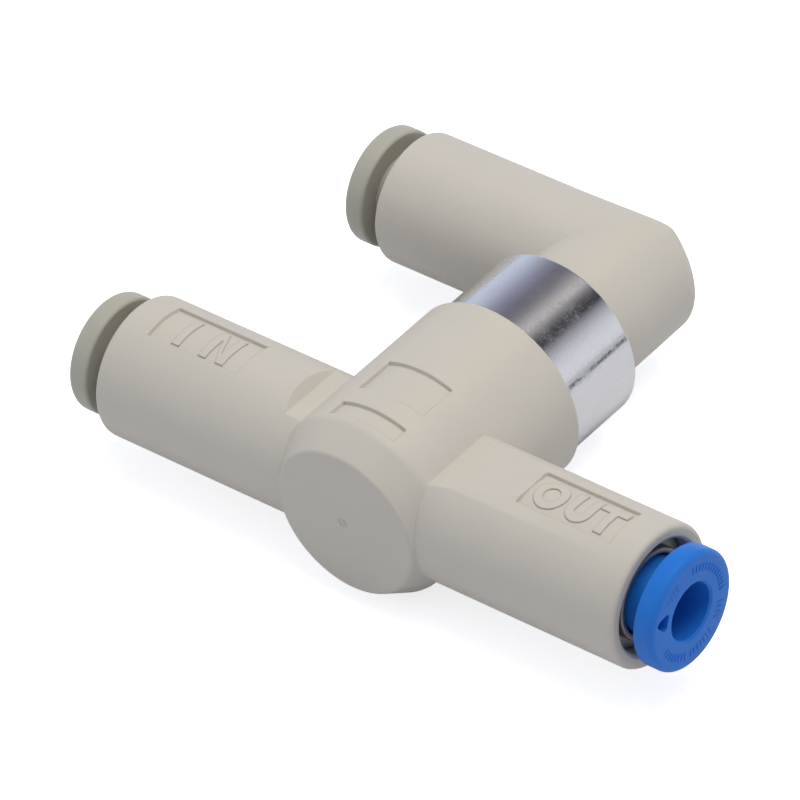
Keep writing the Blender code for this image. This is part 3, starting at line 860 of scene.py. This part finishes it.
def heelLine(level, past, e):
    # round the corner at one level of its core, where past is 0 on the flat and 1 beyond its end
    stub = e["stub"] - e["heelRounding"]
    arm = e["arm"] - e["heelRounding"]
    flat = e["heelFlat"] - e["heelRounding"]
    slope = Vector((cos(e["heelSlope"]), sin(e["heelSlope"]), 0))
    side = Vector((cos(level), 0, sin(level)))
    top = Vector((0, cos(level) / arm, sin(level) / stub)).normalized()
    turn = slope.slerp((side + top).normalized(), past)
    x, y, z = stub * cos(level), arm * cos(level), stub * sin(level)
    first = last = Vector((x, y, z))
    if past == 0:
        first = Vector((x, (flat - slope.x * x) / slope.y, z))
        last = Vector(((flat - slope.y * y) / slope.x, y, z))
    shares = [k / e["heelSteps"] for k in range(e["heelSteps"] + 1)]
    line = [first + e["heelRounding"] * side.slerp(turn, share) for share in shares]
    return line + [last + e["heelRounding"] * turn.slerp(top, share) for share in shares]


def elbowLine(level, past, end, e):
    # along the outside from the foot to the mouth, with y from the arm's axis
    across, up = cos(level), sin(level)
    foot = collarEnd + e["gap"] - armLine
    if across > 0:
        corner = heelLine(level, past, e)
    else:
        inside = Vector((e["stub"] * across, e["arm"] * across, e["stub"] * up))
        corner = [inside] * (2 * e["heelSteps"] + 2)
    stub = [Vector((0, foot, 0)), Vector((e["stub"] * across, foot, e["stub"] * up))]
    return stub + corner + [Vector((-x, r * across, r * up)) for x, r in end]


def elbowSkin(e):
    # stub, rounded heel and arm in one closed skin
    core = e["stub"] - e["heelRounding"], e["arm"] - e["heelRounding"]
    reach = core[0] * cos(e["heelSlope"]) + core[1] * sin(e["heelSlope"])
    flatEnd = acos((e["heelFlat"] - e["heelRounding"]) / reach)
    rest = quarterTurn - flatEnd
    quarter = [(flatEnd * k / e["flatLevels"], 0) for k in range(e["flatLevels"] + 1)]
    quarter += [(flatEnd, k / e["heelSteps"]) for k in range(1, e["heelSteps"])]
    quarter += [(flatEnd + rest * k / e["endLevels"], 1) for k in range(e["endLevels"] + 1)]
    levels = quarter + [(pi - level, past) for level, past in reversed(quarter)]
    levels += [(pi + level, past) for level, past in quarter]
    levels += [(-level, past) for level, past in reversed(quarter)]
    mouth = [(e["armStart"], e["arm"]), (armReach, e["arm"], e["mouthRounding"]), (armReach, 0)]
    end = rounded(mouth, e["mouthSteps"])
    bm = bmesh.new()
    grid = [[bm.verts.new(point) for point in elbowLine(level, past, end, e)]
            for level, past in levels]
    for i, line in enumerate(grid):
        for k in range(1, len(line)):
            bm.faces.new((grid[i - 1][k - 1], grid[i - 1][k], line[k], line[k - 1]))
    return closedObject("elbowSkin", bm, Matrix.Translation((0, armLine, 0)))


def grooveFor(node, slack):
    # its two sides along the spigot, from the collar's end
    return low(node).y - collarEnd - slack, high(node).y - collarEnd + slack


def makeElbow(e, h):
    rise = armLine - collarEnd
    tip = low("elbow_body").y - collarEnd
    ring = grooveFor("elbow_o_ring", e["grooveSlack"])
    clip = grooveFor("elbow_clip", e["grooveSlack"])
    root = e["gap"] + e["spigotRoot"]
    corners = [
        (tip, 0),
        (tip, e["spigot"] - e["chamfer"]),
        (tip + e["chamfer"], e["spigot"]),
        (ring[0], e["spigot"]),
        (ring[0], e["ringGroove"]),
        (ring[1], e["ringGroove"]),
        (ring[1], e["spigot"]),
        (clip[0], e["spigot"]),
        (clip[0], e["clipGroove"]),
        (clip[1], e["clipGroove"]),
        (clip[1], e["spigot"]),
        (root, e["spigot"]),
        (root, 0),
    ]
    way = [
        (tip - h["overrun"], 0),
        (tip - h["overrun"], e["bore"]),
        (rise, e["bore"]),
        *[(rise + x, r) for x, r in arc(e["bore"], quarterTurn, 0, e["boreSteps"])[1:-1]],
        (rise + e["bore"], 0),
    ]
    onward = armReach - sealDepth - h["socketLength"]
    return carve(lathe("elbowShell", corners, e["sides"], elbowPivot), [
        ("UNION", elbowSkin(e)),
        ("DIFFERENCE", portBore("elbowBore", elbowMouth, onward, h)),
        ("DIFFERENCE", lathe("spigotBore", way, e["boreSides"], elbowPivot)),
    ])


dress(makeElbow(elbow, housing), "body_resin", "elbow", "elbow_body")
print("elbow made")


# rings and release buttons, in a frame whose X axis points out of the port

guide = {
    "sides": 96,
    "lip": 2.9 * mm,
    "bore": 3.4 * mm,
    "nose": 3.35 * mm,
    "outer": 4.05 * mm,
    "lipLength": 1.05 * mm,
    "noseLength": 0.8 * mm,
    "flare": 0.35 * mm,
    "flareStart": 0.55,
    "rounding": 0.2 * mm,
    "edgeSteps": 4,
}


def makeGuideRing(name, node, mouth, g):
    near, far = sorted(abs((mouth.inverted() @ end).x) for end in (low(node), high(node)))
    flareStart = near + g["flareStart"] * (far - near)
    corners = [
        (-near, g["lip"], g["rounding"]),
        (-near, g["nose"], g["rounding"]),
        (-near - g["noseLength"], g["nose"]),
        (-near - g["noseLength"], g["outer"]),
        (-far, g["outer"]),
        (-far, g["bore"] + g["flare"]),
        (-flareStart, g["bore"]),
        (-near - g["lipLength"], g["bore"]),
        (-near - g["lipLength"], g["lip"]),
    ]
    return lathe(name, corners, g["sides"], mouth, g["edgeSteps"])


button = {
    "sides": 112,
    "bore": 2.09 * mm,
    "boreChamfer": 0.15 * mm,
    "flange": 4.38 * mm,
    "thickness": 1.63 * mm,
    "rounding": 0.45 * mm,
    "backRounding": 0.25 * mm,
    "stem": 2.75 * mm,
    "stemLength": 3.61 * mm,
    "neck": 2.6 * mm,
    "rib": 2.85 * mm,
    "ribStart": 5.06 * mm,
    "ribLength": 0.45 * mm,
    "noseStart": 6.01 * mm,
    "nose": 2.3 * mm,
    "length": 6.71 * mm,
    "notchDepth": 0.6 * mm,
    "notchRadius": 3.13 * mm,
    "notchAngle": radians(159),
    "notchReach": 0.4 * mm,
    "notchRounding": 0.27 * mm,
    "notchSteps": 8,
    "overrun": 1.0 * mm,
}


def notchTool(b, place):
    # a rounded triangle that points away from the button's axis
    across = b["notchRadius"] * cos(b["notchAngle"])
    up = b["notchRadius"] * sin(b["notchAngle"])
    outline = []
    for k in range(3):
        corner = b["notchAngle"] + 2 * pi * k / 3
        centre = (across + b["notchReach"] * cos(corner), up + b["notchReach"] * sin(corner))
        outline += arc(b["notchRounding"], corner - pi / 3, corner + pi / 3, b["notchSteps"], centre)
    return drawnOut("notchTool", outline, -b["notchDepth"], b["overrun"], place)


def makeButton(name, node, mouth, b):
    # x is measured back from the button's face
    face = max((mouth.inverted() @ end).x for end in (low(node), high(node)))
    place = mouth @ Matrix.Translation((face, 0, 0))
    corners = [
        (0, b["bore"] + b["boreChamfer"]),
        (0, b["flange"], b["rounding"]),
        (-b["thickness"], b["flange"], b["backRounding"]),
        (-b["thickness"], b["stem"]),
        (-b["stemLength"], b["stem"]),
        (-b["stemLength"], b["neck"]),
        (-b["ribStart"], b["neck"]),
        (-b["ribStart"], b["rib"]),
        (-b["ribStart"] - b["ribLength"], b["neck"]),
        (-b["noseStart"], b["neck"]),
        (-b["length"], b["nose"]),
        (-b["length"], b["bore"]),
        (-b["boreChamfer"], b["bore"]),
    ]
    blank = lathe(name, corners, b["sides"], place)
    return carve(blank, [("DIFFERENCE", notchTool(b, place))])


ports = {
    "in": (inletMouth, "housing", "grey_button"),
    "out": (outletMouth, "housing", "blue_button"),
    "elbow": (elbowMouth, "elbow", "grey_button"),
}

for port, (mouth, carrier, look) in ports.items():
    ring = makeGuideRing(port + "GuideShell", port + "_guide_ring", mouth, guide)
    dress(ring, "plated_metal", carrier, port + "_guide_ring")
    # the ring takes the darker metal, whose colour carries painted shade of the port mouth
    ring.data.materials[0] = dullMetalWithPaintedShade
    cap = makeButton(port + "ButtonShell", port + "_release_button", mouth, button)
    dress(cap, look, port + "_button", port + "_release_button")
print("rings and buttons made")


# raised ticks on the blue button's face, by Geometry Nodes

ticks = {
    "length": 0.66 * mm,
    "width": 0.17 * mm,
    "height": 0.05 * mm,
    "radius": 3.25 * mm,
    "taper": 0.75,
    "spacing": radians(6.5),
    # (first angle, count)
    "arcs": [
        (radians(-4), 14),
        (radians(-42), 4),
        (radians(-98), 7),
        (radians(-155), 8),
        (radians(112), 4),
    ],
}


def ringTree():
    # copies of a unit round the X axis, from a first angle on
    tree = bpy.data.node_groups.new("copies round X", "GeometryNodeTree")
    face = tree.interface
    face.new_socket("Geometry", in_out="INPUT", socket_type="NodeSocketGeometry")
    face.new_socket("Count", in_out="INPUT", socket_type="NodeSocketInt")
    face.new_socket("First angle", in_out="INPUT", socket_type="NodeSocketFloat")
    face.new_socket("Spacing", in_out="INPUT", socket_type="NodeSocketFloat")
    face.new_socket("Material", in_out="INPUT", socket_type="NodeSocketMaterial")
    face.new_socket("Geometry", in_out="OUTPUT", socket_type="NodeSocketGeometry")
    nodes = tree.nodes
    given = nodes.new("NodeGroupInput")
    points = nodes.new("GeometryNodePoints")
    index = nodes.new("GeometryNodeInputIndex")
    angle = nodes.new("ShaderNodeMath")
    angle.operation = "MULTIPLY_ADD"
    turn = nodes.new("ShaderNodeCombineXYZ")
    copies = nodes.new("GeometryNodeInstanceOnPoints")
    solid = nodes.new("GeometryNodeRealizeInstances")
    look = nodes.new("GeometryNodeSetMaterial")
    result = nodes.new("NodeGroupOutput")
    for source, target in (
        (given.outputs["Count"], points.inputs["Count"]),
        (index.outputs["Index"], angle.inputs[0]),
        (given.outputs["Spacing"], angle.inputs[1]),
        (given.outputs["First angle"], angle.inputs[2]),
        (angle.outputs[0], turn.inputs["X"]),
        (points.outputs[0], copies.inputs["Points"]),
        (given.outputs["Geometry"], copies.inputs["Instance"]),
        (turn.outputs[0], copies.inputs["Rotation"]),
        (copies.outputs["Instances"], solid.inputs["Geometry"]),
        (solid.outputs["Geometry"], look.inputs["Geometry"]),
        (given.outputs["Material"], look.inputs["Material"]),
        (look.outputs["Geometry"], result.inputs["Geometry"]),
    ):
        tree.links.new(source, target)
    return tree


def ringOf(unit, tree, count, first, spacing, material):
    # the copies as one plain mesh, in the unit's own frame
    step = unit.modifiers.new("copies", "NODES")
    step.node_group = tree
    values = {"Count": count, "First angle": first, "Spacing": spacing, "Material": material}
    for item in tree.interface.items_tree:
        if item.in_out == "INPUT" and item.name in values:
            step[item.identifier] = values[item.name]
    settle(unit)
    return unit


def tickBar(name, t):
    # one bar that stands out of the face plane at x = 0, on the +Y side
    bm = bmesh.new()
    bmesh.ops.create_cube(bm, size=1.0)
    for vert in bm.verts:
        x, y, z = vert.co
        taper = t["taper"] if x > 0 else 1.0
        away = t["radius"] + y * t["length"] * taper
        vert.co = Vector((2 * x * t["height"], away, z * t["width"] * taper))
    return closedObject(name, bm)


copiesTree = ringTree()
outFace = Matrix.Translation((high("out_release_button").x, portLine, 0))
for number, (first, count) in enumerate(ticks["arcs"]):
    bars = tickBar(f"buttonTicks{number + 1}", ticks)
    ringOf(bars, copiesTree, count, first, ticks["spacing"], looks["blue_button"])
    bars.data.transform(outFace)
    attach(bars, "out_button")
print("ticks made")


# inner pieces keep their solids and get their looks

def innerSlot(node):
    for entry in frame["record"]["subparts"]:
        if entry["node"] == node:
            return entry["material_slot"]


for name, node in frame["nodes"].items():
    for slot in node.material_slots:
        slot.material = looks[innerSlot(name)]
print("inner pieces dressed")


# studio: floor, sky and lamps

studio = {
    "floorSize": 3.0,
    "floorColour": (0.77, 0.775, 0.82, 1),
    "floorGlow": 0.72,
    "floorRoughness": 0.9,
    "skyLevel": 0.42,
    "skyColour": (0.88, 0.93, 1.0, 1),
    "keyPower": 1.5,
    "keyColour": (1.0, 0.96, 0.88),
    "keySize": 0.35,
    "keyPlace": (0.05, 0.10, 0.45),
    "fillPower": 0.14,
    "fillColour": (0.95, 0.97, 1.0),
    "fillSize": 0.3,
    "fillPlace": (-0.35, -0.25, 0.12),
    "stripX": (58 * mm, 118 * mm),
    "stripY": (-60 * mm, 200 * mm),
    "stripRise": 0.2 * mm,
    "stripColour": (0.10, 0.10, 0.11, 1),
    "stripRoughness": 0.9,
    "bandLevel": 1.25,
}


def makeFloor(s):
    # its glow is for the camera alone, and keeps the shadow pale
    bm = bmesh.new()
    bmesh.ops.create_grid(bm, x_segments=1, y_segments=1, size=s["floorSize"] / 2)
    mesh = bpy.data.meshes.new("floor")
    bm.to_mesh(mesh)
    bm.free()
    mesh.transform(Matrix.Translation((0, 0, cadBox[0][2])))
    floor = bpy.data.objects.new("floor", mesh)
    bpy.context.scene.collection.objects.link(floor)
    material, shader, surface = newLook("pale floor", s["floorRoughness"])
    surface.inputs["Base Color"].default_value = s["floorColour"]
    surface.inputs["Specular IOR Level"].default_value = 0.0
    seen = shader.node("ShaderNodeLightPath", None, None, "Is Camera Ray")
    shader.feed(surface, "Emission Strength", seen * s["floorGlow"])
    surface.inputs["Emission Color"].default_value = (1, 1, 1, 1)
    mesh.materials.append(material)


def makeStrip(s):
    # seen in reflections only: the dark line low on the collar
    near, far = s["stripX"]
    front, back = s["stripY"]
    level = cadBox[0][2] + s["stripRise"]
    bm = bmesh.new()
    corners = [(near, front), (far, front), (far, back), (near, back)]
    bm.faces.new([bm.verts.new((x, y, level)) for x, y in corners])
    mesh = bpy.data.meshes.new("darkStrip")
    bm.to_mesh(mesh)
    bm.free()
    strip = bpy.data.objects.new("darkStrip", mesh)
    bpy.context.scene.collection.objects.link(strip)
    material, _, surface = newLook("dark strip", s["stripRoughness"])
    surface.inputs["Base Color"].default_value = s["stripColour"]
    mesh.materials.append(material)
    strip.visible_camera = False
    strip.visible_diffuse = False
    strip.visible_shadow = False


# what reflections show round the barrel's axis: (degrees from +X over the top, colour)
skyBands = [
    (-180, (0.49, 0.53, 0.59)),
    (0, (0.60, 0.61, 0.64)),
    (7, (0.65, 0.65, 0.69)),
    (19, (0.62, 0.63, 0.67)),
    (27, (0.56, 0.57, 0.60)),
    (33, (0.48, 0.48, 0.52)),
    (43, (0.30, 0.30, 0.33)),
    (49, (0.15, 0.15, 0.17)),
    (53, (0.05, 0.05, 0.05)),
    (58, (0.045, 0.045, 0.05)),
    (66, (0.11, 0.11, 0.11)),
    (73, (0.28, 0.26, 0.27)),
    (79, (0.49, 0.47, 0.47)),
    (85, (0.46, 0.43, 0.43)),
    (91, (0.35, 0.33, 0.33)),
    (98, (0.23, 0.22, 0.23)),
    (106, (0.165, 0.16, 0.185)),
    (116, (0.155, 0.15, 0.185)),
    (128, (0.21, 0.215, 0.28)),
    (140, (0.31, 0.325, 0.41)),
    (152, (0.42, 0.455, 0.56)),
    (164, (0.50, 0.55, 0.67)),
    (172, (0.52, 0.57, 0.67)),
    (180, (0.49, 0.53, 0.59)),
]


def makeSky(s):
    # white for the camera, banded in reflections, plain for the rest
    world = bpy.data.worlds.new("studio")
    bpy.context.scene.world = world
    world.use_nodes = True
    tree = world.node_tree
    tree.nodes.clear()
    shader = Shader(tree)
    place = shader.node("ShaderNodeTexCoord", None, None, "Generated")
    across = shader.node("ShaderNodeSeparateXYZ", None, {"Vector": place}, "X")
    upward = shader.node("ShaderNodeSeparateXYZ", None, {"Vector": place}, "Z")
    angle = across.step("ARCTAN2", upward, across) / (2 * pi) + 0.5
    stops = [((degrees + 180) / 360, colour) for degrees, colour in skyBands]
    bands = shader.node("ShaderNodeValToRGB", {"stops": stops}, {"Fac": angle})
    plain, banded, white = (
        shader.node("ShaderNodeBackground", None, {"Color": colour, "Strength": level})
        for colour, level in (
            (s["skyColour"], s["skyLevel"]),
            (bands, s["bandLevel"]),
            ((1, 1, 1, 1), 1.0),
        )
    )
    glossy = shader.node("ShaderNodeLightPath", None, None, "Is Glossy Ray")
    seen = shader.node("ShaderNodeLightPath", None, None, "Is Camera Ray")
    lit = shader.node("ShaderNodeMixShader", None, {0: glossy, 1: plain, 2: banded})
    shown = shader.node("ShaderNodeMixShader", None, {0: seen, 1: lit, 2: white})
    output = tree.nodes.new("ShaderNodeOutputWorld")
    shader.feed(output, "Surface", shown)


def makeLamp(name, s):
    data = bpy.data.lights.new(name, "AREA")
    data.energy = s[name + "Power"]
    data.color = s[name + "Colour"]
    data.size = s[name + "Size"]
    lamp = bpy.data.objects.new(name, data)
    bpy.context.scene.collection.objects.link(lamp)
    place = Vector(s[name + "Place"])
    aim = Vector((0, portLine, 0))
    turn = (place - aim).to_track_quat("Z", "Y").to_matrix().to_4x4()
    lamp.matrix_world = Matrix.Translation(place) @ turn
    lamp.visible_glossy = False


makeFloor(studio)
makeStrip(studio)
makeSky(studio)
makeLamp("key", studio)
makeLamp("fill", studio)
print("studio made")
